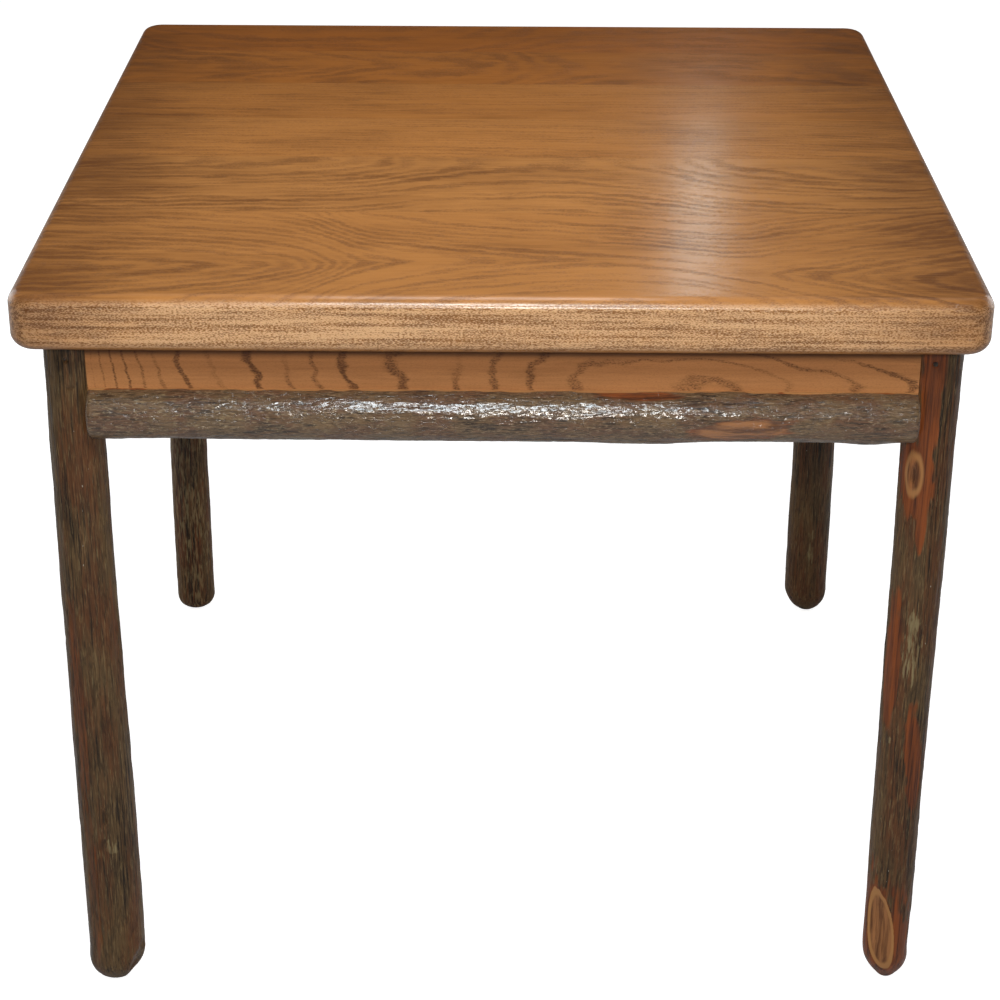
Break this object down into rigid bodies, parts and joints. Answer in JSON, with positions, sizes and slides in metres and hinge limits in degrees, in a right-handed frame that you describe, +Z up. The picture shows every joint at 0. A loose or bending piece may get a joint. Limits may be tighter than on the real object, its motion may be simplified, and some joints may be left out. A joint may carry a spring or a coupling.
{
  "type": "rustic dining table",
  "caption": "Rustic dining table: a thick glued oak top with rounded edges on bark-covered hickory poles, with tenoned oak aprons faced by half-round bark rails.",
  "frame": {"origin": "on the floor under the middle of the top", "axes": "+Z up; -Y is the front, the side with the knife-cut foot at its right; +X to the right seen from the front"},
  "size_m": [0.864, 0.914, 0.762],
  "materials": {
    "oak_top": "satin varnish over stained oak",
    "oak_apron": "satin varnish over stained oak",
    "hickory_bark": "varnished hickory bark",
    "plain_wood": "bare sawn hardwood",
    "steel": "zinc plated"
  },
  "bodies": {
    "root": {"top_board_1": "oak_top", "top_board_2": "oak_top", "top_board_3": "oak_top", "top_board_4": "oak_top", "top_board_5": "oak_top", "top_board_6": "oak_top", "top_splines": "plain_wood", "leg_front_left": "hickory_bark", "corner_block_front_left": "plain_wood", "leg_front_right": "hickory_bark", "corner_block_front_right": "plain_wood", "leg_back_left": "hickory_bark", "corner_block_back_left": "plain_wood", "leg_back_right": "hickory_bark", "corner_block_back_right": "plain_wood", "apron_front": "oak_apron", "rail_front": "hickory_bark", "apron_right": "oak_apron", "rail_right": "hickory_bark", "apron_back": "oak_apron", "rail_back": "hickory_bark", "apron_left": "oak_apron", "rail_left": "hickory_bark", "tenon_nails": "steel", "rail_screws": "steel", "block_screws": "steel", "top_screws": "steel", "top_clips": "steel", "clip_screws": "steel"}
  },
  "joints": []
}
